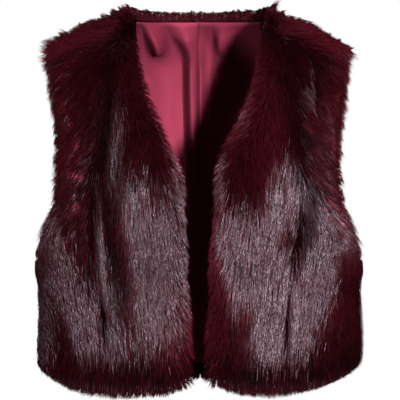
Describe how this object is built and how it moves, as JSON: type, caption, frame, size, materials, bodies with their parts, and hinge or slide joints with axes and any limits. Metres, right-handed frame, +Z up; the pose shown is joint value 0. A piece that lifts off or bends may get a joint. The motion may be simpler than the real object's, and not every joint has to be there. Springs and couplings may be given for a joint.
{
  "type": "gilet",
  "caption": "Cropped sleeveless fur gilet with a V neck, an open front and a satin lining, filled out as worn.",
  "frame": {"origin": "midway between the two points where a shoulder seam meets the neckline, on the inside of the fur's backing", "axes": "+Z up the wearer, +X to the wearer's left, -Y out of the open front"},
  "size_m": [0.4282, 0.2716, 0.5023],
  "materials": {
    "fur": "long glossy burgundy pile",
    "lining": "burgundy satin"
  },
  "bodies": {
    "root": {"front_left": "fur", "front_right": "fur", "back": "fur", "lining_front_left": "lining", "lining_front_right": "lining", "lining_back_left": "lining", "lining_back_right": "lining"}
  },
  "joints": []
}
